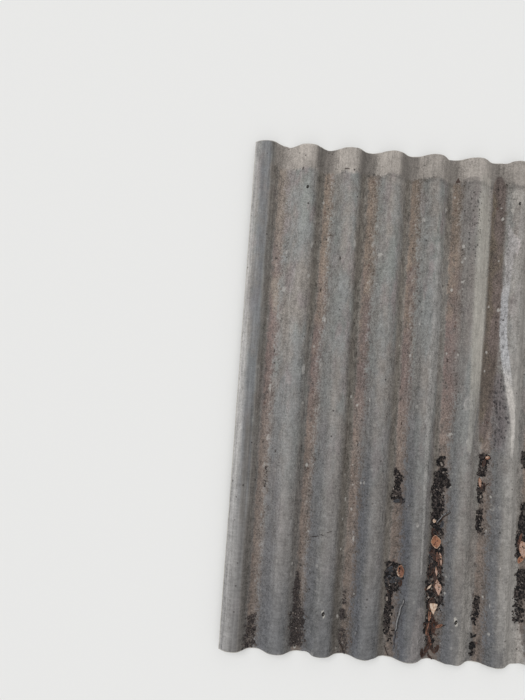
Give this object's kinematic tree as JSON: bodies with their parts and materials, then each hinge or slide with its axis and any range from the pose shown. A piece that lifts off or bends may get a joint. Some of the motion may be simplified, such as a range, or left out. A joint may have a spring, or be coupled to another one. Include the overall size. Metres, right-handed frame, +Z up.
{
  "type": "corrugated fiber cement sheet",
  "caption": "Corrugated fiber cement roofing sheet with 40 by 150 mm waves, one low covered edge wave and nail holes through its crests.",
  "frame": {"origin": "on the floor under the middle of the sheet: the centre of its bounding box, at the undersides of the valleys", "axes": "+X runs across the waves, from the covering edge to the covered edge; +Y runs along the waves, towards the head edge; +Z is up, out of the face that sees the weather"},
  "size_m": [1.13, 1.75, 0.0458],
  "materials": {
    "fiber_cement": "weathered, matt, slightly fibrous"
  },
  "bodies": {
    "root": {"corrugated_sheet": "fiber_cement"}
  },
  "joints": []
}
